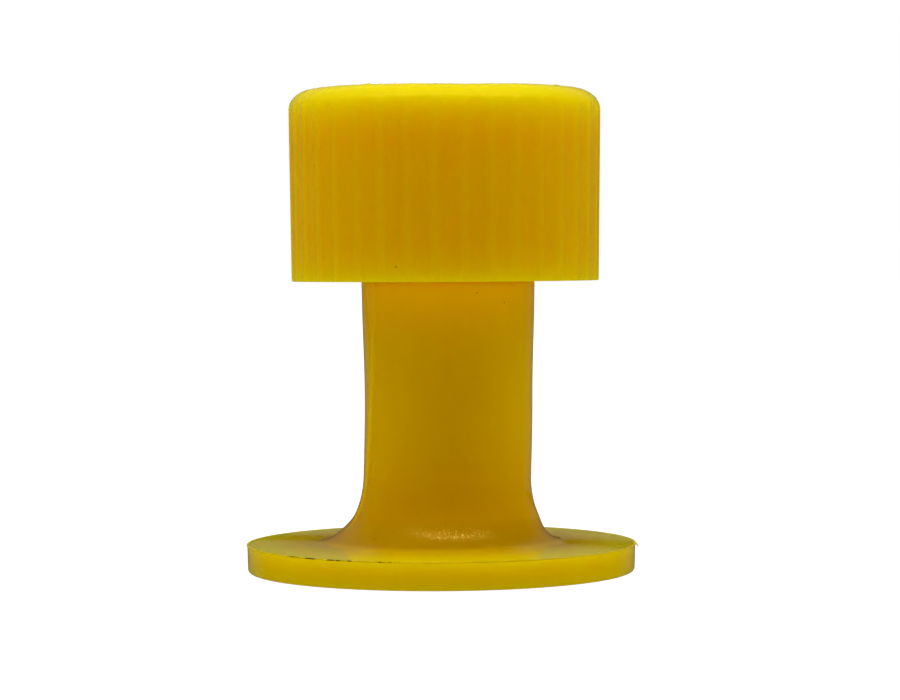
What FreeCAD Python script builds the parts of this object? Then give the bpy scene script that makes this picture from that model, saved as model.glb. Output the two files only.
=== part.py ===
"""A round pull tab: a ribbed grip head on a plain stem, with a flat disc pad at its foot.

The real tab is one injection moulding with nothing inside it. It is divided here at its own
sections into closed solids that meet face to face: the pad, the flash round the pad's upper
edge, the flared root, the stem with the core that runs on up through the head, the head, the
ribs round the head, and the crown that closes it.

Millimetres, +Z up the stem. The origin is the centre of the pad's flat underside.
"""

import FreeCAD, Part
import math
import os

# Pad: the flat disc at the foot.
PAD_RADIUS = 10.0            # where the rim leaves the underside's round
PAD_RIM_HEIGHT = 1.42
PAD_RIM_DRAFT = 0.07         # the rim is this much wider at its upper edge
PAD_EDGE_ROUND = 0.22        # round between underside and rim
FLASH_STANDOUT = 0.13        # how far the flash stands out of the rim
FLASH_THICKNESS = 0.12

# Root: the hollow flare, a quarter ellipse, that runs from the pad's upper face into the stem.
ROOT_FOOT_Z = 1.5            # the pad's upper face rises to this level at the flare's foot
ROOT_SPREAD = 2.25           # the flare's reach outwards from the stem
ROOT_RISE = 3.4              # the flare's reach upwards from its foot
ROOT_SPLIT_Z = 2.0           # level where pad and root meet

# Stem: a straight waist above the root, then a slight swell towards the head.
WAIST_RADIUS = 4.35
WAIST_TOP_Z = 9.0
NECK_RADIUS = 4.48           # where the stem enters the head

# Head: a drafted drum with a rounded upper edge and a low dome.
HEAD_BOTTOM_Z = 15.0
HEAD_BOTTOM_RADIUS = 7.96    # over the ribs
HEAD_TOP_RADIUS = 8.07       # over the ribs, where the rounded edge starts
HEAD_EDGE_ROUND = 1.08
CROWN_EDGE_Z = 24.8          # level where the rounded edge meets the dome
OVERALL_HEIGHT = 25.0        # at the rim of the gate well

# Gate well: the shallow dish in the crown, with the stub of the sprue on its floor.
WELL_RADIUS = 1.7
WELL_DEPTH = 0.22
SPRUE_RADIUS = 0.6
SPRUE_HEIGHT = 0.14

# Ribs round the head. Each is a tapered bar that runs out at both ends of the head's side.
RIB_COUNT = 36
RIB_DEPTH = 0.14
RIB_CREST_HALF_DEG = 1.65    # half the crest's width, as an angle round the stem
RIB_BASE_HALF_DEG = 2.85     # the same at the rib's base
RIB_PHASE_DEG = -3.0         # the first rib's centre, turned from the -Y side towards +X

PARTS_FOLDER = "parts"
MARGIN = 1.0                 # how far a cutting tool runs past the solid that it cuts

# Worked out from the sizes above.
PAD_TOP_RADIUS = PAD_RADIUS + PAD_RIM_DRAFT
ROOT_FOOT_RADIUS = WAIST_RADIUS + ROOT_SPREAD
ROOT_TOP_Z = ROOT_FOOT_Z + ROOT_RISE
DOME_EDGE_RADIUS = HEAD_TOP_RADIUS - HEAD_EDGE_ROUND
HEAD_SIDE_TOP_Z = CROWN_EDGE_Z - HEAD_EDGE_ROUND
WELL_FLOOR_Z = OVERALL_HEIGHT - WELL_DEPTH
UP = FreeCAD.Vector(0, 0, 1)


def point(radius, z):
    """A point of an outline in the XZ plane, before it is turned round the Z axis."""
    return FreeCAD.Vector(radius, 0.0, z)


def chain(*points):
    """Straight edges from point to point."""
    return [Part.LineSegment(a, b).toShape() for a, b in zip(points, points[1:])]


def arc(start, middle, end):
    return Part.Arc(start, middle, end).toShape()


def soft_curve(*poles):
    """A smooth edge that leaves its first pole and meets its last one along the end runs."""
    curve = Part.BezierCurve()
    curve.setPoles(list(poles))
    return curve.toShape()


def turned(edges):
    """The solid swept by a closed outline turned once round the Z axis."""
    solid = Part.Face(Part.Wire(edges)).revolve(FreeCAD.Vector(), UP, 360)
    return solid if solid.Volume > 0 else solid.reversed()


def level_slab(z_low, z_high):
    """Everything between two levels, as a wide cylinder."""
    return Part.makeCylinder(2 * PAD_RADIUS, z_high - z_low, FreeCAD.Vector(0, 0, z_low))


def flare_angle(z):
    """The angle on the flare's quarter ellipse, measured from its top, that lies at level z."""
    return math.asin((ROOT_TOP_Z - z) / ROOT_RISE)


def flare(from_angle, to_angle):
    """The flare's elliptical edge between two of those angles, and its two ends."""
    ends = [
        point(ROOT_FOOT_RADIUS - ROOT_SPREAD * math.cos(a), ROOT_TOP_Z - ROOT_RISE * math.sin(a))
        for a in (from_angle, to_angle)
    ]
    centre = point(ROOT_FOOT_RADIUS, ROOT_TOP_Z)
    far_up = centre + UP * ROOT_RISE
    far_out = centre + FreeCAD.Vector(ROOT_SPREAD, 0, 0)
    ellipse = Part.Ellipse(far_up, far_out, centre)
    stretch = sorted(ellipse.parameter(end) for end in ends)
    return Part.ArcOfEllipse(ellipse, *stretch).toShape(), *ends


def pad():
    """The disc, with the low start of the flare on its upper face."""
    curve, top, foot = flare(flare_angle(ROOT_SPLIT_Z), math.pi / 2)
    inset = PAD_EDGE_ROUND * (1 - math.sqrt(0.5))
    under_end = point(PAD_RADIUS - PAD_EDGE_ROUND, 0)
    rim_start = point(PAD_RADIUS, PAD_EDGE_ROUND)
    outline = [
        *chain(top, point(0, ROOT_SPLIT_Z), point(0, 0), under_end),
        arc(under_end, point(PAD_RADIUS - inset, inset), rim_start),
        *chain(rim_start, point(PAD_TOP_RADIUS, PAD_RIM_HEIGHT), foot),
        curve,
    ]
    return turned(outline)


def pad_flash(disc):
    """The thin ring of flash, flush with the rim's upper edge."""
    radius = PAD_TOP_RADIUS + FLASH_STANDOUT
    low = FreeCAD.Vector(0, 0, PAD_RIM_HEIGHT - FLASH_THICKNESS)
    return Part.makeCylinder(radius, FLASH_THICKNESS, low).cut(disc)


def stem_root():
    """The flare between pad and stem."""
    curve, top, low = flare(0.0, flare_angle(ROOT_SPLIT_Z))
    return turned([curve, *chain(low, point(0, low.z), point(0, top.z), top)])


def stem():
    """The shaft, with the plain core that runs on up through the head to the crown."""
    reach = (HEAD_BOTTOM_Z - WAIST_TOP_Z) / 3
    waist_top = point(WAIST_RADIUS, WAIST_TOP_Z)
    neck = point(NECK_RADIUS, HEAD_BOTTOM_Z)
    waist_foot = point(WAIST_RADIUS, ROOT_TOP_Z)
    core_top = point(NECK_RADIUS, HEAD_SIDE_TOP_Z)
    outline = [
        *chain(waist_foot, waist_top),
        soft_curve(waist_top, waist_top + UP * reach, neck - UP * reach, neck),
        *chain(neck, core_top, point(0, core_top.z), point(0, waist_foot.z), waist_foot),
    ]
    return turned(outline)


def head_envelope():
    """The whole head over its ribs: lower chamfer, drafted side, rounded edge, dome and well."""
    side_top = point(HEAD_TOP_RADIUS, HEAD_SIDE_TOP_Z)
    dome_edge = point(DOME_EDGE_RADIUS, CROWN_EDGE_Z)
    half_turn = HEAD_EDGE_ROUND * math.sqrt(0.5)
    edge_middle = point(DOME_EDGE_RADIUS + half_turn, HEAD_SIDE_TOP_Z + half_turn)
    well_edge = point(WELL_RADIUS, OVERALL_HEIGHT)
    dome_level = point((DOME_EDGE_RADIUS + WELL_RADIUS) / 2, OVERALL_HEIGHT)
    outline = [
        *chain(
            point(0, HEAD_BOTTOM_Z),
            point(HEAD_BOTTOM_RADIUS - RIB_DEPTH, HEAD_BOTTOM_Z),
            point(HEAD_BOTTOM_RADIUS, HEAD_BOTTOM_Z + RIB_DEPTH),
            side_top,
        ),
        arc(side_top, edge_middle, dome_edge),
        soft_curve(dome_edge, dome_level, well_edge),
        *chain(
            well_edge,
            point(WELL_RADIUS - WELL_DEPTH, WELL_FLOOR_Z),
            point(SPRUE_RADIUS, WELL_FLOOR_Z),
            point(SPRUE_RADIUS, WELL_FLOOR_Z + SPRUE_HEIGHT),
            point(0, WELL_FLOOR_Z + SPRUE_HEIGHT),
            point(0, HEAD_BOTTOM_Z),
        ),
    ]
    return turned(outline)


def groove_cone():
    """The drafted cone that the floors of the grooves between the ribs lie on."""
    height = OVERALL_HEIGHT + MARGIN - HEAD_BOTTOM_Z
    draft = (HEAD_TOP_RADIUS - HEAD_BOTTOM_RADIUS) / (HEAD_SIDE_TOP_Z - HEAD_BOTTOM_Z)
    low_radius = HEAD_BOTTOM_RADIUS - RIB_DEPTH
    return Part.makeCone(low_radius, low_radius + draft * height, height, UP * HEAD_BOTTOM_Z)


def head(envelope, cone):
    """The drum under the ribs, bored for the stem's core."""
    core = Part.makeCylinder(NECK_RADIUS, OVERALL_HEIGHT, UP * (HEAD_BOTTOM_Z - MARGIN))
    drum = envelope.common(cone).common(level_slab(HEAD_BOTTOM_Z - MARGIN, HEAD_SIDE_TOP_Z))
    return drum.cut(core)


def crown(envelope, cone):
    """The rounded top of the head, above the drum and the stem's core."""
    return envelope.common(cone).common(level_slab(HEAD_SIDE_TOP_Z, OVERALL_HEIGHT + MARGIN))


def rib_half_width(radius):
    """Half a rib's width at a radius: it narrows evenly from its base to its crest."""
    base_radius = HEAD_TOP_RADIUS - RIB_DEPTH
    taper = (RIB_BASE_HALF_DEG - RIB_CREST_HALF_DEG) / RIB_DEPTH
    half_deg = RIB_BASE_HALF_DEG - taper * (radius - base_radius)
    return radius * math.sin(math.radians(half_deg))


def grip_ribs(envelope, cone):
    """The ribs, one separate solid each, standing on the drum and on the crown's rounded edge."""
    inner = HEAD_BOTTOM_RADIUS - 2 * RIB_DEPTH
    outer = HEAD_TOP_RADIUS + RIB_DEPTH / 2
    corners = [
        FreeCAD.Vector(side * rib_half_width(radius), -radius, HEAD_BOTTOM_Z)
        for radius, side in ((inner, -1), (outer, -1), (outer, 1), (inner, 1))
    ]
    section = Part.Face(Part.Wire(chain(*corners, corners[0])))
    bar = section.extrude(UP * (OVERALL_HEIGHT + MARGIN - HEAD_BOTTOM_Z))
    rib = bar.common(envelope).cut(cone).Solids[0]
    ribs = []
    for index in range(RIB_COUNT):
        one = rib.copy()
        one.rotate(FreeCAD.Vector(), UP, RIB_PHASE_DEG + index * 360.0 / RIB_COUNT)
        ribs.append(one)
    return Part.makeCompound(ribs)


def main():
    envelope = head_envelope()
    cone = groove_cone()
    disc = pad()
    nodes = {
        "pad": disc,
        "pad_flash": pad_flash(disc),
        "stem_root": stem_root(),
        "stem": stem(),
        "head": head(envelope, cone),
        "grip_ribs": grip_ribs(envelope, cone),
        "crown": crown(envelope, cone),
    }
    os.makedirs(PARTS_FOLDER, exist_ok=True)
    for name, shape in nodes.items():
        shape.exportStep(os.path.join(PARTS_FOLDER, name + ".step"))
        box = shape.BoundBox
        print(
            f"{name}: {len(shape.Solids)} solids, valid {shape.isValid()}, {shape.Volume:.3f} mm3,"
            f" z {box.ZMin:.3f} to {box.ZMax:.3f}, {box.XLength:.3f} wide"
        )


main()
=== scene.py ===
"""Looks for the moulded pull tab: the ribbed head, the stem with its pad, and the flash round the pad.

Every length is in metres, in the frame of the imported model: +Z runs up the stem, the origin is the
centre of the pad's underside, and -Y is the front.
"""

import logging
import math
from dataclasses import dataclass
from enum import Enum
from typing import Callable, Sequence

import bpy
import numpy as np
from mathutils import Matrix, Vector


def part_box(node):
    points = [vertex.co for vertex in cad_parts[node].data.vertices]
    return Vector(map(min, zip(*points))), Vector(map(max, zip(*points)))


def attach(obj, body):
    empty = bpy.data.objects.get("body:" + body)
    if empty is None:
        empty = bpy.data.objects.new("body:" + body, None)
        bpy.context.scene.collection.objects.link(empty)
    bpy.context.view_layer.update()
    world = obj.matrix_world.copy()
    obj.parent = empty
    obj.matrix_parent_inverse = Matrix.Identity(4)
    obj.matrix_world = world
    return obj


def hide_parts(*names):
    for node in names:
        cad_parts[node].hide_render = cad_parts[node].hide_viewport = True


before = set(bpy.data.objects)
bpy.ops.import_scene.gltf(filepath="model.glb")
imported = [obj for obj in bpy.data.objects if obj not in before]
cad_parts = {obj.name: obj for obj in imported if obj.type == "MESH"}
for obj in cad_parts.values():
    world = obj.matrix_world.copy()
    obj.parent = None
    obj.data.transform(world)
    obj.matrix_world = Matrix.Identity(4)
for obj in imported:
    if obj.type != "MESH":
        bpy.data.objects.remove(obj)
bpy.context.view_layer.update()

log = logging.getLogger("pull_tab")

MM = 0.001
FULL_TURN = 2.0 * math.pi
Warp = Callable[[np.ndarray, np.ndarray, np.ndarray], np.ndarray]
Socket = bpy.types.NodeSocket
Span = tuple[float, float]
Place = tuple[float, float, float]


# Shared shape tools -------------------------------------------


def eased(value: np.ndarray, low: float, high: float) -> np.ndarray:
    """Rises smoothly from 0 at low to 1 at high.

    Args:
        value: where to read the rise.
        low: the value at which it leaves 0.
        high: the value at which it reaches 1, below low for a fall.

    Returns:
        The rise at each value, from 0 to 1.
    """
    share = np.clip((value - low) / (high - low), 0.0, 1.0)
    return share * share * (3.0 - 2.0 * share)


def swelling(value: np.ndarray, centre: float, width: float) -> np.ndarray:
    """A bell that is 1 at its centre and fades to nothing past two widths.

    Args:
        value: where to read the bell.
        centre: the value of its peak.
        width: the distance at which it has fallen to about a third.

    Returns:
        The bell's height at each value, from 0 to 1.
    """
    return np.exp(-(((value - centre) / width) ** 2))


def off_angle(angle: np.ndarray, degrees: float | np.ndarray) -> np.ndarray:
    """How far angles lie from a direction.

    Args:
        angle: angles round the axis, in radians from the front.
        degrees: the direction, in degrees from the front.

    Returns:
        The differences in degrees, from -180 to 180.
    """
    return (np.degrees(angle) - degrees + 180.0) % 360.0 - 180.0


def around(radius: np.ndarray | float, angle: np.ndarray) -> tuple[np.ndarray, np.ndarray]:
    """The x and y of points, from their distance from the axis and their angle from the front."""
    return radius * np.sin(angle), -radius * np.cos(angle)


@dataclass(frozen=True)
class Ripple:
    """A smooth random unevenness, as a sum of plane waves in every direction.

    Attributes:
        size: the length of its typical bump, in metres.
        seed: which unevenness of that size it is.
        waves: how many waves are summed.
    """

    size: float
    seed: int
    waves: int = 24

    def at(self, x: np.ndarray, y: np.ndarray, z: np.ndarray | float) -> np.ndarray:
        """Reads the unevenness at points in space.

        Args:
            x: the points' first coordinates.
            y: their second coordinates.
            z: their third coordinates.

        Returns:
            Values that average 0 and mostly lie between -1 and 1.
        """
        rng = np.random.default_rng(self.seed)
        total = np.zeros(np.shape(x))
        for _ in range(self.waves):
            direction = rng.normal(size=3)
            direction *= FULL_TURN / (2.0 * self.size) / np.linalg.norm(direction)
            direction *= rng.uniform(0.7, 1.4)
            phase = rng.uniform(0.0, FULL_TURN)
            total += np.sin(direction[0] * x + direction[1] * y + direction[2] * z + phase)
        return total / math.sqrt(self.waves)


@dataclass
class HalfSection:
    """The outline of a turned body, from its lowest point on the axis to its highest.

    Attributes:
        points: (distance from the axis, height) of each ring of the turned body. A section is made
            with its first point, and its methods add the others.
    """

    points: list[Span]

    def follow(self, path: Callable[[float], Span], steps: int) -> None:
        """Adds the points of a path that starts at the last point.

        Args:
            path: takes a share from 0 to 1 and returns the distance from the axis and the height there.
            steps: how many rings the path gets.
        """
        self.points += [path(step / steps) for step in range(1, steps + 1)]

    def line(self, radius: float, height: float, steps: int) -> None:
        """Runs straight from the last point.

        Args:
            radius: the line's end, out from the axis.
            height: the line's end, up the axis.
            steps: how many rings the line gets.
        """
        r0, z0 = self.points[-1]
        self.follow(lambda t: (r0 + (radius - r0) * t, z0 + (height - z0) * t), steps)

    def arc(self, reach_r: float, reach_z: float, start: float, end: float, steps: int) -> None:
        """Runs round part of an ellipse that starts at the last point.

        Args:
            reach_r: the ellipse's half width, out from the axis.
            reach_z: its half height.
            start: the angle in degrees where the last point lies, 0 pointing outwards and 90 up.
            end: the angle where the arc ends.
            steps: how many rings the arc gets.
        """
        r0, z0 = self.points[-1]
        first, turn = math.radians(start), math.radians(end - start)
        centre_r = r0 - reach_r * math.cos(first)
        centre_z = z0 - reach_z * math.sin(first)

        def path(share: float) -> Span:
            """The arc's point at a share of its turn."""
            angle = first + turn * share
            return centre_r + reach_r * math.cos(angle), centre_z + reach_z * math.sin(angle)

        self.follow(path, steps)

    def swell(self, radius: float, height: float, steps: int) -> None:
        """Runs from the last point to another in an S that leaves and arrives along the axis.

        Args:
            radius: the end, out from the axis.
            height: the end, up the axis.
            steps: how many rings the S gets.
        """
        r0, z0 = self.points[-1]
        self.follow(lambda t: (r0 + (radius - r0) * t * t * (3.0 - 2.0 * t), z0 + (height - z0) * t), steps)


def skin(name: str, vertices: np.ndarray, faces: list[Sequence[int]]) -> bpy.types.Object:
    """Makes a smooth-shaded object from its points and faces and links it to the scene.

    Args:
        name: the piece's name.
        vertices: one point in each row.
        faces: the points of each face, seen from outside in anticlockwise order.

    Returns:
        The new object.
    """
    mesh = bpy.data.meshes.new(name)
    mesh.from_pydata(vertices.tolist(), [], faces)
    mesh.validate()
    mesh.shade_smooth()
    piece = bpy.data.objects.new(name, mesh)
    bpy.context.scene.collection.objects.link(piece)
    return piece


def turned(name: str, section: HalfSection, columns: int, warp: Warp) -> bpy.types.Object:
    """Turns a half section round the axis into a closed skin, then warps it.

    Args:
        name: the piece's name.
        section: the outline, whose first and last points lie on the axis.
        columns: how many steps one turn has.
        warp: takes each point's radius, angle from the front and height, and returns the finished
            point's x, y and z along a last dimension of 3.

    Returns:
        The new object.
    """
    rings = np.array(section.points[1:-1])
    angles = np.arange(columns) * FULL_TURN / columns
    radius, angle = np.meshgrid(rings[:, 0], angles, indexing="ij")
    height = np.repeat(rings[:, 1][:, None], columns, axis=1)
    grid = warp(radius, angle, height).reshape(-1, 3)
    poles = np.array([(0.0, 0.0, section.points[0][1]), (0.0, 0.0, section.points[-1][1])])
    count = len(rings)
    index = np.arange(count * columns).reshape(count, columns)
    beside = np.roll(index, -1, axis=1)
    quads = np.stack([index[:-1], beside[:-1], beside[1:], index[1:]], axis=-1).reshape(-1, 4)
    low_pole, high_pole = count * columns, count * columns + 1
    faces = quads.tolist()
    faces += [(low_pole, b, a) for a, b in zip(index[0].tolist(), beside[0].tolist())]
    faces += [(high_pole, a, b) for a, b in zip(index[-1].tolist(), beside[-1].tolist())]
    return skin(name, np.vstack([grid, poles]), faces)


# Finishes -----------------------------------------------------


def linear(hex_colour: str) -> tuple[float, float, float, float]:
    """Turns an sRGB colour into the linear values that a shader takes.

    Args:
        hex_colour: the colour as #rrggbb.

    Returns:
        Linear red, green and blue, and an alpha of 1.
    """
    channels = [int(hex_colour[start : start + 2], 16) / 255.0 for start in (1, 3, 5)]
    return (*(c / 12.92 if c <= 0.04045 else ((c + 0.055) / 1.055) ** 2.4 for c in channels), 1.0)


def add_node(
    tree: bpy.types.NodeTree, kind: str, inputs: dict[str | int, object], **settings: object
) -> bpy.types.Node:
    """Adds one node with its settings and its inputs.

    Args:
        tree: the node tree that the node goes into.
        kind: Blender's name for the node's type.
        inputs: what feeds each input, by the input's name or number: another node's output socket,
            or a fixed value.
        settings: the node's own properties, such as an operation.

    Returns:
        The new node.
    """
    node = tree.nodes.new(kind)
    for name, setting in settings.items():
        setattr(node, name, setting)
    for name, source in inputs.items():
        if isinstance(source, Socket):
            tree.links.new(source, node.inputs[name])
        else:
            node.inputs[name].default_value = source
    return node


@dataclass(frozen=True)
class Canvas:
    """A node tree, and the socket that says where in it each point lies.

    Attributes:
        tree: the nodes of a material or of the world.
        place: each point's place on its piece, in metres, or its direction on the unit sphere.
    """

    tree: bpy.types.NodeTree
    place: Socket

    @classmethod
    def blank(cls, owner: bpy.types.Material | bpy.types.World, coordinates: str) -> "Canvas":
        """Empties a material's or world's node tree and returns it as a canvas.

        Args:
            owner: the material or world.
            coordinates: Blender's name for what says the place.
        """
        owner.use_nodes = True
        owner.node_tree.nodes.clear()
        place = add_node(owner.node_tree, "ShaderNodeTexCoord", {}).outputs[coordinates]
        return cls(owner.node_tree, place)

    def parts(self) -> bpy.types.NodeOutputs:
        """The place's X, Y and Z sockets."""
        return add_node(self.tree, "ShaderNodeSeparateXYZ", {"Vector": self.place}).outputs

    def math(self, operation: str, first: Socket, second: Socket | float = 0.0) -> Socket:
        """Works out one step of arithmetic on a socket and another socket or a number."""
        return add_node(self.tree, "ShaderNodeMath", {0: first, 1: second}, operation=operation).outputs[0]

    def ranged(
        self,
        value: Socket,
        low: float,
        high: float,
        start: float = 0.0,
        end: Socket | float = 1.0,
        smooth: bool = False,
    ) -> Socket:
        """Runs from one result to another while a value runs from low to high.

        Args:
            value: what is read.
            low: the value up to which the result is the start.
            high: the value from which the result is the end.
            start: the first result.
            end: the last result.
            smooth: whether the run is eased at both ends.

        Returns:
            The result's socket.
        """
        ends = {"From Min": low, "From Max": high, "To Min": start, "To Max": end}
        run = "SMOOTHSTEP" if smooth else "LINEAR"
        node = add_node(self.tree, "ShaderNodeMapRange", {"Value": value, **ends}, interpolation_type=run)
        return node.outputs["Result"]

    def noise(
        self, size: float, detail: float, roughness: float, stretch: float = 1.0, twist: float = 0.0
    ) -> Socket:
        """Draws soft noise.

        Args:
            size: how wide its typical patch is, in metres.
            detail: how many finer layers it has.
            roughness: how strong those are.
            stretch: how many times as tall as wide the patches are.
            twist: how much they are bent out of shape.

        Returns:
            The noise's socket, from 0 to 1.
        """
        across = 1.0 / size
        scale = {"Vector": self.place, "Scale": (across, across, across / stretch)}
        place = add_node(self.tree, "ShaderNodeMapping", scale).outputs["Vector"]
        layers = {"Scale": 1.0, "Detail": detail, "Roughness": roughness, "Distortion": twist}
        return add_node(self.tree, "ShaderNodeTexNoise", {"Vector": place, **layers}).outputs["Fac"]

    def away_from(self, centre: Place, squash: float = 1.0) -> Socket:
        """Measures how far each point lies from a centre.

        Args:
            centre: the centre, in metres.
            squash: how many times over the distance counts upwards and downwards.

        Returns:
            The distance's socket.
        """
        scale = (1.0, 1.0, squash)
        place = add_node(self.tree, "ShaderNodeMapping", {"Vector": self.place, "Scale": scale}).outputs[0]
        ends = {0: place, 1: tuple(part * share for part, share in zip(centre, scale))}
        return add_node(self.tree, "ShaderNodeVectorMath", ends, operation="DISTANCE").outputs["Value"]

    def painted(self, base: Socket, over: str, share: Socket, blend: str = "MIX") -> Socket:
        """Lays one colour over another and returns the result.

        Args:
            base: the colour below.
            over: the sRGB colour laid over it.
            share: how much of that colour shows, from 0 to 1.
            blend: Blender's name for how the two combine.
        """
        layers = {0: share, 6: base, 7: linear(over)}
        mix = add_node(self.tree, "ShaderNodeMix", layers, data_type="RGBA", blend_type=blend)
        return mix.outputs[2]


class Mark(Enum):
    """Something that soils or scratches a skin, or a glint painted on it."""

    SPECKS = "dark specks moulded into the plastic"
    LIP_DIRT = "dirt caught in the flash along the pad's upper edge"
    POLISHED_EDGE = "the head's upper edge rubbed shiny by tools"
    # At the front of the foot these scratches also carry a painted glint: pale streaks laid into the base
    # colour.
    ROOT_SCRATCHES_AND_GLINTS = "fine upright scratches round the foot of the stem"


@dataclass(frozen=True)
class MouldedUrethane:
    """Translucent amber polyurethane, injection moulded.

    Light goes deep into it and comes out elsewhere, which gives the eye a glow that is lemon at thin
    edges and orange where the moulding is thick. Its shine is tinted by the plastic where it is seen
    square on, and turns pale only at a glancing angle.

    Attributes:
        name: the material's name.
        tints: the plastic's colour at rising heights, lemon where thin and amber in bulk, with painted
            light and shade.
        depth: how far red, green and blue light travel in it, in metres.
        roughness: the gloss of its skin, from 0 for a mirror to 1 for chalk.
        roughness_spread: how much that gloss varies from place to place.
        grain: the size of the mould's own texture, in metres.
        grain_height: that texture's height, in metres.
        marks: what soils or scratches it, and the painted glints that go with its scratches.
    """

    name: str
    tints: tuple[tuple[float, str], ...]
    depth: tuple[float, float, float]
    roughness: float
    roughness_spread: float
    grain: float
    grain_height: float
    marks: tuple[Mark, ...]

    IOR = 1.5
    SHINE = 0.3
    SHINE_TINT = "#ffd21e"
    FLOW_STREAK = 2.2 * MM
    FLOW_STRETCH = 6.0
    STREAK_SHADE = "#fcf9f2"
    CLOUD = 5.0 * MM
    DIRT = "#6a4c0a"
    SPECK_SPACING = 1.7 * MM
    SPECK_RADIUS = 0.06 * MM
    SPECK_SHARE = 0.6
    LIP_DIRT_AT = (-5.2 * MM, -8.5 * MM, 1.41 * MM)
    LIP_DIRT_REACH = 3.4 * MM
    LIP_DIRT_GRAIN = 0.5 * MM
    POLISH_FROM = 23.6 * MM
    POLISH_TO = 24.2 * MM
    POLISH_SHARE = 0.45
    SCRATCH_WIDTH = 0.095 * MM
    SCRATCH_STRETCH = 3.0
    SCRATCH_HEIGHT = 0.014 * MM
    SCRATCH_LEVEL = 2.5 * MM
    SCRATCH_REACH = 0.9 * MM
    # A painted glint of the overhead strip: pale streaks laid into the base colour along the scratches, at
    # the front of the stem's foot.
    PAINTED_GLINT = "#f6cc40"
    PAINTED_GLINT_AT = (0.35 * MM, -5.0 * MM, 2.3 * MM)
    PAINTED_GLINT_REACH = 2.6 * MM
    PAINTED_GLINT_SQUASH = 6.5

    def build(self) -> bpy.types.Material:
        """Makes the material and returns it."""
        material = bpy.data.materials.new(self.name)
        canvas = Canvas.blank(material, "Object")
        skin_and_bulk = {
            "IOR": self.IOR,
            "Specular IOR Level": self.SHINE,
            "Specular Tint": linear(self.SHINE_TINT),
            "Subsurface Weight": 1.0,
            "Subsurface Radius": self.depth,
            "Subsurface Scale": 1.0,
            "Base Color": self.soiled_and_painted_glints(canvas, self.streaked(canvas)),
            "Roughness": self.glossed(canvas),
            "Normal": self.textured(canvas),
        }
        shader = add_node(
            canvas.tree, "ShaderNodeBsdfPrincipled", skin_and_bulk, subsurface_method="RANDOM_WALK"
        )
        add_node(canvas.tree, "ShaderNodeOutputMaterial", {"Surface": shader.outputs["BSDF"]})
        return material

    def streaked(self, canvas: Canvas) -> Socket:
        """Colours the plastic at each height, by its bulk and with painted light and shade, and draws faint
        upright flow streaks in it.
        """
        top = self.tints[-1][0]
        climb = canvas.math("DIVIDE", canvas.parts()["Z"], top)
        ramp = add_node(canvas.tree, "ShaderNodeValToRGB", {"Fac": climb})
        stops = ramp.color_ramp.elements
        while len(stops) < len(self.tints):
            stops.new(0.5)
        for stop, (level, colour) in zip(stops, self.tints):
            stop.position = level / top
            stop.color = linear(colour)
        flow = canvas.noise(
            self.FLOW_STREAK, detail=4.0, roughness=0.6, stretch=self.FLOW_STRETCH, twist=0.4
        )
        share = canvas.ranged(flow, 0.35, 0.75)
        return canvas.painted(ramp.outputs["Color"], self.STREAK_SHADE, share, "MULTIPLY")

    def soiled_and_painted_glints(self, canvas: Canvas, colour: Socket) -> Socket:
        """Lays the skin's dirt, and the painted glints along its scratches, over its clean colour."""
        masks = {
            Mark.SPECKS: (self.speck_mask, self.DIRT),
            Mark.LIP_DIRT: (self.lip_dirt_mask, self.DIRT),
            # The scratches' entry paints a glint: pale streaks in the base colour.
            Mark.ROOT_SCRATCHES_AND_GLINTS: (self.painted_glint_mask, self.PAINTED_GLINT),
        }
        for mark in self.marks:
            if mark in masks:
                find, shade = masks[mark]
                colour = canvas.painted(colour, shade, find(canvas))
        return colour

    def speck_mask(self, canvas: Canvas) -> Socket:
        """Finds the few tiny balls of scorched plastic that reach the skin."""
        cells = {"Vector": canvas.place, "Scale": 1.0 / self.SPECK_SPACING}
        middle = add_node(canvas.tree, "ShaderNodeTexVoronoi", cells).outputs["Distance"]
        radius = self.SPECK_RADIUS / self.SPECK_SPACING
        return canvas.ranged(middle, 0.6 * radius, radius, self.SPECK_SHARE, 0.0)

    def lip_dirt_mask(self, canvas: Canvas) -> Socket:
        """Finds the broken line of dirt on one stretch of the lip of flash."""
        reach = self.LIP_DIRT_REACH
        near = canvas.ranged(canvas.away_from(self.LIP_DIRT_AT), 0.8 * reach, reach, 1.0, 0.0)
        clumps = canvas.noise(self.LIP_DIRT_GRAIN, detail=4.0, roughness=0.7)
        return canvas.math("MULTIPLY", near, canvas.ranged(clumps, 0.48, 0.54))

    def upright_lines(self, canvas: Canvas) -> Socket:
        """Draws fine upright streaks all over."""
        return canvas.noise(self.SCRATCH_WIDTH, detail=2.0, roughness=0.6, stretch=self.SCRATCH_STRETCH)

    def painted_glint_mask(self, canvas: Canvas) -> Socket:
        """Finds the painted glint of the overhead strip: pale streaks along the scratches at the front of
        the stem's foot.
        """
        gap = canvas.away_from(self.PAINTED_GLINT_AT, self.PAINTED_GLINT_SQUASH)
        near = canvas.ranged(gap, 0.2 * self.PAINTED_GLINT_REACH, self.PAINTED_GLINT_REACH, 1.0, 0.0)
        return canvas.math("MULTIPLY", near, canvas.ranged(self.upright_lines(canvas), 0.5, 0.66))

    def glossed(self, canvas: Canvas) -> Socket:
        """Varies the roughness in soft clouds, as handling leaves it, and polishes the rubbed edge."""
        least, most = self.roughness - self.roughness_spread, self.roughness + self.roughness_spread
        clouds = canvas.noise(self.CLOUD, detail=6.0, roughness=0.65)
        gloss = canvas.ranged(clouds, 0.3, 0.7, least, most)
        if Mark.POLISHED_EDGE not in self.marks:
            return gloss
        height = canvas.parts()["Z"]
        rubbed = canvas.ranged(height, self.POLISH_FROM, self.POLISH_TO, 1.0, self.POLISH_SHARE)
        return canvas.math("MULTIPLY", gloss, rubbed)

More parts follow.
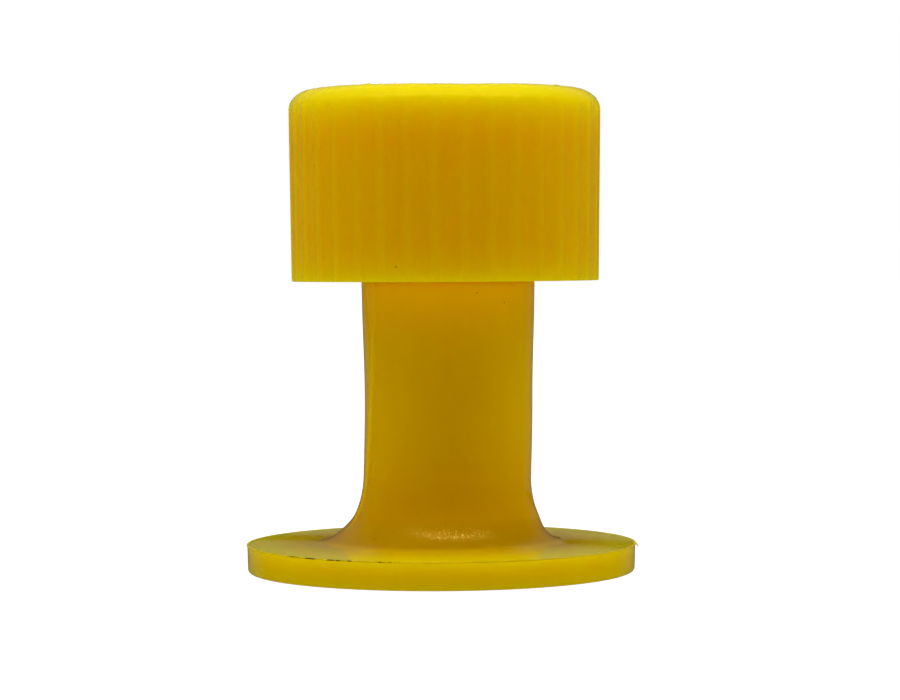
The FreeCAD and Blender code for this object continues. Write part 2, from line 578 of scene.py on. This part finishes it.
    def textured(self, canvas: Canvas) -> Socket:
        """Gives the skin's normal the orange peel of a moulded part, and its scratches if it has them."""
        peel = canvas.noise(self.grain, detail=3.0, roughness=0.5)
        bump = {"Strength": 1.0, "Distance": self.grain_height, "Height": peel}
        normal = add_node(canvas.tree, "ShaderNodeBump", bump).outputs["Normal"]
        return self.scratched(canvas, normal) if Mark.ROOT_SCRATCHES_AND_GLINTS in self.marks else normal

    def scratched(self, canvas: Canvas, normal: Socket) -> Socket:
        """Cuts upright scratches into the normal in a band round the foot of the stem."""
        above = canvas.math("SUBTRACT", canvas.parts()["Z"], self.SCRATCH_LEVEL)
        reach = self.SCRATCH_REACH
        cuts = {
            "Strength": canvas.ranged(canvas.math("ABSOLUTE", above), 0.5 * reach, reach, 1.0, 0.0),
            "Distance": self.SCRATCH_HEIGHT,
            "Height": self.upright_lines(canvas),
            "Normal": normal,
        }
        return add_node(canvas.tree, "ShaderNodeBump", cuts).outputs["Normal"]


def dress(piece: bpy.types.Object, material: bpy.types.Material) -> None:
    """Gives a piece one material.

    Args:
        piece: the object.
        material: what it wears.
    """
    piece.data.materials.clear()
    piece.data.materials.append(material)


# The moulding -------------------------------------------------


@dataclass
class RibbedHead:
    """The grip head: drum, ribs and domed crown in one closed skin.

    Attributes:
        ribs: how many ribs stand round the drum.
        rib_depth: how far they stand out of the grooves.
        crest_half: half a crest's width, in degrees round the axis.
        base_half: the same where a rib meets its grooves.
        phase: the first rib's centre, in degrees from the front.
        rib_nudge: how far a rib may sit off its even place, in degrees.
        rib_least: the smallest share of the full depth that a rib has.
        rib_seed: which random unevenness the ribs have.
        taper: how much wider the head is at its upper edge than at its lower, in radius.
        edge_width: how far the round of the upper edge reaches inwards.
        edge_drop: how far it reaches down.
        dome_rise: how far the dome stands above that edge.
        wear_depth: how far the edge is worn down at the front.
        worn_at: the middle of the worn stretch, in degrees from the front.
        worn_reach: how far it reaches each way, in degrees.
        burr_height: how high the two small burrs on the upper edge stand.
        burrs_at: where they are, in degrees from the front towards +X.
        burr_width: how far each reaches round the edge, in degrees.
        burr_reach: how far each reaches across the edge.
        crown_starts: where wear and roughness start and are full, as shares of the edge's drop.
        satin_height: how rough the crown's skin is.
        wave_height: how far the crown's skin rises and falls.
        well_radius: the rim of the gate well in the crown.
        well_depth: how deep the well is.
        well_margin: how wide the smooth border round the well is.
        sprue_radius: the broken-off sprue's stub on the well's floor.
        sprue_height: how high the stub stands.
        columns_per_rib: how finely the skin is divided round the axis.
    """

    ribs: int = 36
    rib_depth: float = 0.075 * MM
    crest_half: float = 0.5
    base_half: float = 2.6
    phase: float = -3.0
    rib_nudge: float = 0.2
    rib_least: float = 0.75
    rib_seed: int = 11
    taper: float = 0.11 * MM
    edge_width: float = 1.35 * MM
    edge_drop: float = 1.08 * MM
    dome_rise: float = 0.14 * MM
    wear_depth: float = 0.08 * MM
    worn_at: float = 3.0
    worn_reach: float = 30.0
    burr_height: float = 0.06 * MM
    burrs_at: tuple[float, ...] = (-34.0, 57.0)
    burr_width: float = 1.3
    burr_reach: float = 0.12 * MM
    crown_starts: Span = (0.1, 0.7)
    satin_height: float = 0.009 * MM
    wave_height: float = 0.01 * MM
    well_radius: float = 1.7 * MM
    well_depth: float = 0.22 * MM
    well_margin: float = 0.2 * MM
    sprue_radius: float = 0.6 * MM
    sprue_height: float = 0.14 * MM
    columns_per_rib: int = 16

    SATIN = Ripple(0.2 * MM, 3)
    SATIN_PATCHES = Ripple(2.2 * MM, 9)
    CROWN_WAVE = Ripple(2.6 * MM, 5)

    def __post_init__(self) -> None:
        """Reads the head's place and main sizes from the frame."""
        self.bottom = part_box("head")[0].z
        self.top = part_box("crown")[1].z
        self.top_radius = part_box("grip_ribs")[1].x
        self.side_top = self.top - self.dome_rise - self.edge_drop
        self.bottom_radius = self.top_radius - self.taper

    def section(self) -> HalfSection:
        """The head's outline over its ribs, from the underside's centre to the crown's."""
        dome_edge = self.top_radius - self.edge_width
        floor = self.top - self.well_depth
        outline = HalfSection([(0.0, self.bottom)])
        outline.line(self.bottom_radius - self.rib_depth, self.bottom, steps=20)
        outline.arc(self.rib_depth, self.rib_depth, -90.0, 0.0, steps=5)
        outline.line(self.top_radius, self.side_top, steps=62)
        outline.arc(self.edge_width, self.edge_drop, 0.0, 90.0, steps=22)
        outline.follow(
            lambda t: (
                dome_edge + (self.well_radius - dome_edge) * t,
                self.top - self.dome_rise * (1.0 - t) ** 2,
            ),
            steps=44,
        )
        outline.line(self.well_radius - self.well_depth, floor, steps=5)
        outline.line(self.sprue_radius, floor, steps=6)
        outline.line(self.sprue_radius * 0.9, floor + self.sprue_height, steps=3)
        outline.line(0.0, floor + self.sprue_height, steps=4)
        return outline

    def groove_share(self, angle: np.ndarray) -> np.ndarray:
        """How much of the rib depth is cut away at each angle.

        Args:
            angle: angles round the axis, in radians from the front.

        Returns:
            0 on a full rib's crest and 1 in a groove.
        """
        pitch = 360.0 / self.ribs
        turn = np.degrees(angle) - self.phase + pitch / 2.0
        which = np.floor(turn / pitch).astype(int) % self.ribs
        rng = np.random.default_rng(self.rib_seed)
        nudge = rng.uniform(-self.rib_nudge, self.rib_nudge, self.ribs)[which]
        fullness = rng.uniform(self.rib_least, 1.0, self.ribs)[which]
        off_crest = np.abs(turn % pitch - pitch / 2.0 - nudge)
        return 1.0 - fullness * eased(off_crest, self.base_half, self.crest_half)

    def warp(self, radius: np.ndarray, angle: np.ndarray, height: np.ndarray) -> np.ndarray:
        """Cuts the grooves between the ribs, and gives the crown its burrs and roughness.

        Args:
            radius: each point's distance from the axis.
            angle: its angle from the front.
            height: its height.

        Returns:
            The finished points.
        """
        groove_floor = self.bottom_radius - self.rib_depth
        groove_floor = groove_floor + self.taper * (height - self.bottom) / (self.side_top - self.bottom)
        radius = radius - self.groove_share(angle) * np.maximum(radius - groove_floor, 0.0)
        x, y = around(radius, angle)
        upper = eased(height, *(self.side_top + share * self.edge_drop for share in self.crown_starts))
        patches = 0.6 + 0.4 * self.SATIN_PATCHES.at(x, y, height)
        rough = self.satin_height * self.SATIN.at(x, y, height) * patches
        wave = self.wave_height * self.CROWN_WAVE.at(x, y, height)
        on_edge = swelling(radius, self.top_radius - self.edge_width, self.burr_reach) * upper
        worn = swelling(off_angle(angle, self.worn_at), 0.0, self.worn_reach)
        height = height - self.wear_depth * worn * upper
        for burr in self.burrs_at:
            bump = swelling(off_angle(angle, burr), 0.0, self.burr_width)
            height = height + self.burr_height * on_edge * bump
        outside = radius > self.well_radius + self.well_margin
        radius = radius + upper * rough * outside
        height = height + upper * (rough + wave) * outside
        return np.stack([*around(radius, angle), height], axis=-1)

    def build(self) -> bpy.types.Object:
        """Makes the head's skin and returns it, riding on the moulding."""
        piece = turned("ribbed_head", self.section(), self.ribs * self.columns_per_rib, self.warp)
        finish = MouldedUrethane(
            name="urethane_moulded_satin_head",
            # Painted light over the plastic's own tint: the head is lighter and more lemon towards its
            # upper edge, lit from above, and a little lighter at its underside, lit from below.
            tints=(
                (15.0 * MM, "#f8ca00"),
                (17.0 * MM, "#f8c400"),
                (22.0 * MM, "#fcc800"),
                (24.0 * MM, "#f8da00"),
            ),
            depth=(5.0 * MM, 3.4 * MM, 0.3 * MM),
            roughness=0.34,
            roughness_spread=0.06,
            grain=0.22 * MM,
            grain_height=0.02 * MM,
            marks=(Mark.SPECKS, Mark.POLISHED_EDGE),
        )
        dress(piece, finish.build())
        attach(piece, "root")
        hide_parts("head", "grip_ribs", "crown")
        return piece


@dataclass
class StemAndPad:
    """The foot of the tab: the disc pad, its flared root and the stem up to the head.

    Attributes:
        rim_height: the pad rim's height.
        rim_draft: how much wider the rim is at its top than at its bottom, in radius.
        edge_round: the round between the pad's underside and its rim.
        crown_round: the small round at the rim's upper edge.
        foot_height: the pad's upper face at the foot of the flare.
        root_spread: how far the flare spreads out from the stem.
        waist_slim: how much slimmer the waist is than the neck under the head, in radius.
        waist_top: where the straight waist ends.
        joint_gap: the hair's breadth left below the head, hidden in the corner.
        seam_height: how far the parting line stands out.
        seam_width: how far it reaches to each side, in degrees.
        seam_starts: the heights where it starts to stand out and does so in full.
        seam_foot: its place at the foot of the stem, in degrees from the front.
        seam_lean: how far round it wanders on its way up to the head, in degrees.
        pad_shift: how far the pad sits to the left of the head's axis.
        stem_shift: how far the stem sits to the right of it.
        rim_wave: how far the rim wanders in and out.
        face_wave: how far the pad's upper face rises and falls.
        wave_starts: how far from the axis both start and are full.
        wave_rises: the heights where they do.
        columns: how finely the skin is divided round the axis.
    """

    rim_height: float = 1.42 * MM
    rim_draft: float = 0.05 * MM
    edge_round: float = 0.17 * MM
    crown_round: float = 0.06 * MM
    foot_height: float = 1.5 * MM
    root_spread: float = 2.2 * MM
    waist_slim: float = 0.13 * MM
    waist_top: float = 9.0 * MM
    joint_gap: float = 0.012 * MM
    seam_height: float = 0.12 * MM
    seam_width: float = 1.6
    seam_starts: Span = (1.7 * MM, 3.2 * MM)
    seam_foot: float = -71.0
    seam_lean: float = 15.0
    pad_shift: float = 0.27 * MM
    stem_shift: float = 0.15 * MM
    rim_wave: float = 0.01 * MM
    face_wave: float = 0.002 * MM
    wave_starts: Span = (6.0 * MM, 9.0 * MM)
    wave_rises: Span = (0.5 * MM, 1.2 * MM)
    columns: int = 440

    PAD_WAVE = Ripple(4.0 * MM, 7)

    def __post_init__(self) -> None:
        """Reads the foot's place and main sizes from the frame."""
        self.pad_top_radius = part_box("pad")[1].x
        self.root_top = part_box("stem_root")[1].z
        self.neck_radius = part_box("stem")[1].x
        self.waist_radius = self.neck_radius - self.waist_slim
        self.head_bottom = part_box("head")[0].z

    def section(self) -> HalfSection:
        """The outline from the centre of the pad's underside to the stem's hidden top."""
        top = self.head_bottom - self.joint_gap
        outline = HalfSection([(0.0, 0.0)])
        outline.line(self.pad_top_radius - self.rim_draft - self.edge_round, 0.0, steps=22)
        outline.arc(self.edge_round, self.edge_round, -90.0, 0.0, steps=7)
        outline.line(self.pad_top_radius, self.rim_height - self.crown_round, steps=10)
        outline.arc(self.crown_round, self.crown_round, 0.0, 90.0, steps=4)
        outline.line(self.waist_radius + self.root_spread, self.foot_height, steps=26)
        outline.arc(self.root_spread, self.root_top - self.foot_height, -90.0, -180.0, steps=34)
        outline.line(self.waist_radius, self.waist_top, steps=16)
        outline.swell(self.neck_radius, top, steps=24)
        outline.line(0.0, top, steps=8)
        return outline

    def warp(self, radius: np.ndarray, angle: np.ndarray, height: np.ndarray) -> np.ndarray:
        """Adds the leaning parting lines, the pad's waviness and the stem's slight offset.

        Args:
            radius: each point's distance from the axis.
            angle: its angle from the front.
            height: its height.

        Returns:
            The finished points.
        """
        x, y = around(radius, angle)
        climb = (height - self.root_top) / (self.head_bottom - self.root_top)
        on_stem = eased(height, *self.seam_starts) * (radius > 0.9 * self.waist_radius)
        for start in (self.seam_foot, self.seam_foot + 180.0):
            off_seam = off_angle(angle, start + self.seam_lean * climb)
            radius = radius + self.seam_height * swelling(off_seam, 0.0, self.seam_width) * on_stem
        on_pad = eased(radius, *self.wave_starts) * eased(height, *self.wave_rises)
        wave = self.PAD_WAVE.at(x, y, 0.0) * on_pad
        radius = radius + self.rim_wave * wave
        height = height + self.face_wave * wave
        shift = self.stem_shift * eased(height, self.foot_height, self.waist_top)
        shift = shift - self.pad_shift * eased(height, 2.0 * self.foot_height, self.foot_height)
        x, y = around(radius, angle)
        return np.stack([x + shift, y, height], axis=-1)

    def build(self) -> bpy.types.Object:
        """Makes the foot's skin and returns it, riding on the moulding."""
        piece = turned("stem_and_pad", self.section(), self.columns, self.warp)
        finish = MouldedUrethane(
            name="urethane_moulded_gloss_foot",
            # Painted light and shade over the plastic's own tint: brightest along the rim's upper edge,
            # darker over the pad's face, darkest round the foot of the stem under the head's overhang, and
            # lighter up the stem towards the head.
            tints=(
                (1.34 * MM, "#d8bc00"),
                (1.41 * MM, "#f6da00"),
                (1.52 * MM, "#d0ac00"),
                (1.7 * MM, "#bc9200"),
                (3.0 * MM, "#daaa00"),
                (5.0 * MM, "#e4b800"),
                (15.0 * MM, "#f8d600"),
            ),
            depth=(5.0 * MM, 3.4 * MM, 0.3 * MM),
            roughness=0.045,
            roughness_spread=0.01,
            grain=0.6 * MM,
            grain_height=0.0003 * MM,
            # The scratches bring a painted glint in the base colour at the front of the foot.
            marks=(Mark.SPECKS, Mark.ROOT_SCRATCHES_AND_GLINTS),
        )
        dress(piece, finish.build())
        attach(piece, "root")
        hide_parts("stem", "stem_root", "pad")
        return piece


@dataclass
class MouldFlash:
    """The thin torn lip of flash round the pad's upper edge.

    Attributes:
        thickness: the lip's thickness at its root.
        standout: how far it stands out of the rim on average.
        root: how far it reaches back into the pad.
        proud: how far its upper face stands over the rim.
        hook_at: where the hooked scrap hangs, in degrees from the front towards +X.
        hook_reach: how far the scrap stands out past the lip.
        hook_width: half the scrap's width at its root, in degrees.
        hook_droop: how far its tip hangs down.
        tip_width: half the hanging tip's width, in degrees.
        torn_to: the least and the most that the lip stands out, next to its average.
        columns: how finely it is divided round the axis.
        rows: how many edges its rounded outer face has.
    """

    thickness: float = 0.055 * MM
    standout: float = 0.025 * MM
    root: float = 0.12 * MM
    proud: float = 0.006 * MM
    hook_at: float = 86.0
    hook_reach: float = 0.16 * MM
    hook_width: float = 1.6
    hook_droop: float = 0.2 * MM
    tip_width: float = 1.2
    torn_to: Span = (0.1, 1.9)
    columns: int = 900
    rows: int = 9

    FINE_TEARS = Ripple(0.9 * MM, 21)
    BROAD_TEARS = Ripple(3.5 * MM, 22)

    def __post_init__(self) -> None:
        """Reads the lip's place from the frame, and the pad's own shift."""
        self.rim_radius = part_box("pad")[1].x
        self.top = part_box("pad_flash")[1].z + self.proud
        self.shift = -StemAndPad().pad_shift

    def build(self) -> bpy.types.Object:
        """Makes the lip as a closed ring and returns it, riding on the moulding."""
        angle = np.arange(self.columns) * FULL_TURN / self.columns
        x, y = around(self.rim_radius, angle)
        uneven = 0.35 * self.FINE_TEARS.at(x, y, 0.0) + 0.5 * self.BROAD_TEARS.at(x, y, 0.0)
        off_hook = off_angle(angle, self.hook_at)
        reach = self.standout * np.clip(1.0 + uneven, *self.torn_to)
        reach = reach + self.hook_reach * swelling(off_hook, 0.0, self.hook_width)
        droop = self.hook_droop * swelling(off_hook, 0.0, self.tip_width)
        rings = []
        for row in range(self.rows):
            turn = math.pi * row / (self.rows - 1)
            out = math.sin(turn) ** 0.8
            level = self.top - self.thickness * (1.0 - math.cos(turn)) / 2.0
            rings.append((self.rim_radius + reach * out, level - droop * out))
        inner = np.full(self.columns, self.rim_radius - self.root)
        rings.append((inner, np.full(self.columns, self.top - self.thickness)))
        rings.append((inner, np.full(self.columns, self.top)))
        radius, level = np.array(rings).swapaxes(0, 1)
        x, y = around(radius, angle)
        points = np.stack([x + self.shift, y, level], axis=-1)
        index = np.arange(radius.size).reshape(radius.shape)
        beside, above = np.roll(index, -1, axis=1), np.roll(index, -1, axis=0)
        corner = np.roll(above, -1, axis=1)
        faces = np.stack([above, corner, beside, index], axis=-1).reshape(-1, 4)
        piece = skin("pad_flash_lip", points.reshape(-1, 3), faces.tolist())
        finish = MouldedUrethane(
            name="urethane_flash_thin",
            tints=((1.3 * MM, "#d8bc00"), (1.5 * MM, "#e0c400")),
            depth=(0.06 * MM, 0.05 * MM, 0.03 * MM),
            roughness=0.3,
            roughness_spread=0.08,
            grain=0.2 * MM,
            grain_height=0.01 * MM,
            marks=(Mark.LIP_DIRT,),
        )
        dress(piece, finish.build())
        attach(piece, "root")
        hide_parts("pad_flash")
        return piece


# The studio ---------------------------------------------------


@dataclass
class LightTent:
    """A pale floor in a light tent that is lit from above and open, so dark, on the camera's side.

    Places on the tent are heights and reaches on the unit sphere round the tab.

    Attributes:
        floor_reach: half the floor's width.
        floor_gap: how far it lies below the pad, so that the two faces don't coincide.
        paper_colour: the floor paper's colour.
        paper_lift: how much brighter the camera sees the paper than the tent lights it.
        table_light: how brightly the light table shines through the paper under the tab.
        table_reach: how far from the tab that starts to fade and where it ends.
        wall_light: how bright the tent's walls are near the floor.
        roof_light: how bright its roof is.
        roof_mirrored: how bright the roof shows in reflections.
        mirrored_spread: how far back a direction must point to reflect nothing, and all, of the tent.
        roof_starts: the height where the walls turn into the roof.
        opening_spread: the dark opening's edges, as how far directions point to the front and back.
        fold_height: where the dark fold of the back wall hangs.
        fold_slope: how steeply the fold climbs to the right.
        fold_width: how far its shade reaches up and down.
        wall_foot: where the dark foot of the walls ends.
        floor_edge: the height below which the floor's light shows in full.
        strip_size: the overhead strip light's length and width.
        strip_power: its power, in watts.
        strip_place: where it hangs.
        strip_target: what it is aimed at.
    """

    floor_reach: float = 1.5
    floor_gap: float = 0.02 * MM
    paper_colour: str = "#8c8c8c"
    paper_lift: float = 0.9
    table_light: float = 0.38
    table_reach: Span = (0.04, 0.09)
    wall_light: float = 0.1
    roof_light: float = 1.95
    roof_mirrored: float = 0.25
    mirrored_spread: Span = (0.5, 0.85)
    roof_starts: float = 0.12
    opening_spread: Span = (-0.75, -0.2)
    fold_height: float = 0.092
    fold_slope: float = 0.2
    fold_width: float = 0.016
    wall_foot: float = 0.05
    floor_edge: float = -0.01
    strip_size: Span = (0.6, 0.003)
    strip_power: float = 0.42
    strip_place: Place = (0.0, -0.088, 0.32)
    strip_target: Place = (0.0, 0.0, 0.012)

    def build_floor(self) -> bpy.types.Object:
        """Makes the floor, which isn't part of the object."""
        reach, level = self.floor_reach, -self.floor_gap
        corners = [(-reach, -reach), (reach, -reach), (reach, reach), (-reach, reach)]
        floor = skin("floor", np.array([(*corner, level) for corner in corners]), [(0, 1, 2, 3)])
        dress(floor, self.paper())
        floor.visible_glossy = False
        return floor

    def paper(self) -> bpy.types.Material:
        """Makes the floor's matte paper, which the camera sees as pale as the ground behind it."""
        material = bpy.data.materials.new("paper_sweep_matte_white")
        canvas = Canvas.blank(material, "Object")
        tree = canvas.tree
        sheet = add_node(tree, "ShaderNodeBsdfDiffuse", {"Color": linear(self.paper_colour)})
        away = canvas.away_from((0.0, 0.0, 0.0))
        table = canvas.ranged(away, *self.table_reach, self.table_light, 0.0, smooth=True)
        glow = add_node(tree, "ShaderNodeEmission", {"Strength": table})
        lift = add_node(tree, "ShaderNodeEmission", {"Strength": self.paper_lift})
        seen = add_node(tree, "ShaderNodeLightPath", {}).outputs["Is Camera Ray"]
        light = add_node(tree, "ShaderNodeMixShader", {0: seen, 1: glow.outputs[0], 2: lift.outputs[0]})
        mix = add_node(tree, "ShaderNodeAddShader", {0: sheet.outputs["BSDF"], 1: light.outputs["Shader"]})
        add_node(tree, "ShaderNodeOutputMaterial", {"Surface": mix.outputs["Shader"]})
        return material

    def build_tent(self) -> None:
        """Lights the scene from above and behind, and shows the camera a plain pale ground."""
        world = bpy.data.worlds.new("light_tent")
        bpy.context.scene.world = world
        canvas = Canvas.blank(world, "Generated")
        tree, parts = canvas.tree, canvas.parts()
        rays = add_node(tree, "ShaderNodeLightPath", {}).outputs
        light = self.roof(canvas, parts["Z"], rays["Is Glossy Ray"])
        behind = canvas.ranged(parts["Y"], *self.mirrored_spread, smooth=True)
        wall = canvas.ranged(parts["Z"], 0.6 * self.wall_foot, self.wall_foot)
        floor = canvas.ranged(parts["Z"], self.floor_edge, 0.0, 1.0, 0.0)
        for share in (
            canvas.ranged(parts["Y"], *self.opening_spread, smooth=True),
            self.fold(canvas),
            canvas.math("MAXIMUM", wall, floor),
            canvas.ranged(rays["Is Glossy Ray"], 0.0, 1.0, 1.0, behind),
        ):
            light = canvas.math("MULTIPLY", light, share)
        white = {"Color": (1.0, 1.0, 1.0, 1.0)}
        tent = add_node(tree, "ShaderNodeBackground", {**white, "Strength": light})
        ground = add_node(tree, "ShaderNodeBackground", {**white, "Strength": 1.0})
        views = {0: rays["Is Camera Ray"], 1: tent.outputs[0], 2: ground.outputs[0]}
        mix = add_node(tree, "ShaderNodeMixShader", views)
        add_node(tree, "ShaderNodeOutputWorld", {"Surface": mix.outputs["Shader"]})

    def roof(self, canvas: Canvas, height: Socket, mirrored: Socket) -> Socket:
        """Brightens the tent from its walls to the middle of its roof.

        Args:
            canvas: the world's nodes.
            height: how high each direction points.
            mirrored: 1 where the tent is seen in a reflection.

        Returns:
            The light's socket.
        """
        zenith = canvas.ranged(mirrored, 0.0, 1.0, self.roof_light, self.roof_mirrored)
        return canvas.ranged(height, self.roof_starts, 1.0, self.wall_light, zenith)

    def fold(self, canvas: Canvas) -> Socket:
        """Finds the dark fold of the back wall: 0 in it and 1 elsewhere."""
        tilt = {0: canvas.place, 1: (-self.fold_slope, 0.0, 1.0)}
        level = add_node(canvas.tree, "ShaderNodeVectorMath", tilt, operation="DOT_PRODUCT")
        above = canvas.math("SUBTRACT", level.outputs["Value"], self.fold_height)
        away = canvas.math("ABSOLUTE", above)
        return canvas.ranged(away, 0.5 * self.fold_width, self.fold_width, smooth=True)

    def build_strip(self) -> bpy.types.Object:
        """Hangs a long strip light above and a little in front of the tab."""
        lamp = bpy.data.lights.new("overhead_strip", "AREA")
        lamp.shape = "RECTANGLE"
        lamp.size, lamp.size_y = self.strip_size
        lamp.energy = self.strip_power
        strip = bpy.data.objects.new("overhead_strip", lamp)
        strip.location = self.strip_place
        aim = Vector(self.strip_target) - Vector(self.strip_place)
        strip.rotation_euler = aim.to_track_quat("-Z", "Y").to_euler()
        bpy.context.scene.collection.objects.link(strip)
        return strip


@dataclass
class JointGlow:
    """A hidden disc of light where the head's skin and the stem's meet.

    The two are one body of plastic, in which the head's glow runs on down into the stem. Their skins
    part at the corner below the head, so this disc hands the glow on.

    Attributes:
        power: the disc's power, in watts.
        colour: the colour of the light inside the head.
        margin: how far the disc's edge stays inside the stem.
    """

    power: float = 0.00006
    colour: str = "#ffc800"
    margin: float = 0.3 * MM

    def build(self) -> bpy.types.Object:
        """Puts the disc into the hair gap, shining down, and returns it."""
        foot = StemAndPad()
        lamp = bpy.data.lights.new("joint_glow", "AREA")
        lamp.shape = "DISK"
        lamp.size = 2.0 * (foot.neck_radius - self.margin)
        lamp.energy = self.power
        lamp.color = linear(self.colour)[:3]
        glow = bpy.data.objects.new("joint_glow", lamp)
        glow.location = (foot.stem_shift, 0.0, foot.head_bottom - 0.5 * foot.joint_gap)
        bpy.context.scene.collection.objects.link(glow)
        return glow


@dataclass
class Camera:
    """A long lens level with the top of the stem, looking very slightly down.

    Attributes:
        distance: from the lens to the tab's axis.
        eye_height: the lens above the floor.
        pitch: how far it looks down, in degrees.
        roll: how far it leans, in degrees.
        side: how far it stands to the right of the axis.
        lens: focal length on a full frame, in Blender's millimetres.
    """

    distance: float = 150.0 * MM
    eye_height: float = 16.1 * MM
    pitch: float = 1.79
    roll: float = -0.3
    side: float = 0.235 * MM
    lens: float = 115.8

    def build(self) -> bpy.types.Object:
        """Makes the camera, sets it as the scene's and returns it."""
        data = bpy.data.cameras.new("camera")
        data.lens = self.lens
        data.sensor_width = 36.0
        data.clip_start = 1.0 * MM
        camera = bpy.data.objects.new("camera", data)
        look = Matrix.Rotation(math.radians(90.0 - self.pitch), 4, "X")
        lean = Matrix.Rotation(math.radians(self.roll), 4, "Z")
        place = Matrix.Translation((self.side, -self.distance, self.eye_height))
        camera.matrix_world = place @ look @ lean
        bpy.context.scene.collection.objects.link(camera)
        bpy.context.scene.camera = camera
        return camera


def main() -> None:
    """Builds the tab, then the studio round it."""
    logging.basicConfig(level=logging.INFO, format="%(message)s")
    bpy.context.scene.view_settings.view_transform = "Standard"
    for maker in (RibbedHead(), StemAndPad(), MouldFlash()):
        piece = maker.build()
        log.info("%s: %d faces", piece.name, len(piece.data.polygons))
    tent = LightTent()
    tent.build_floor()
    tent.build_tent()
    tent.build_strip()
    JointGlow().build()
    Camera().build()


if __name__ == "__main__":
    main()
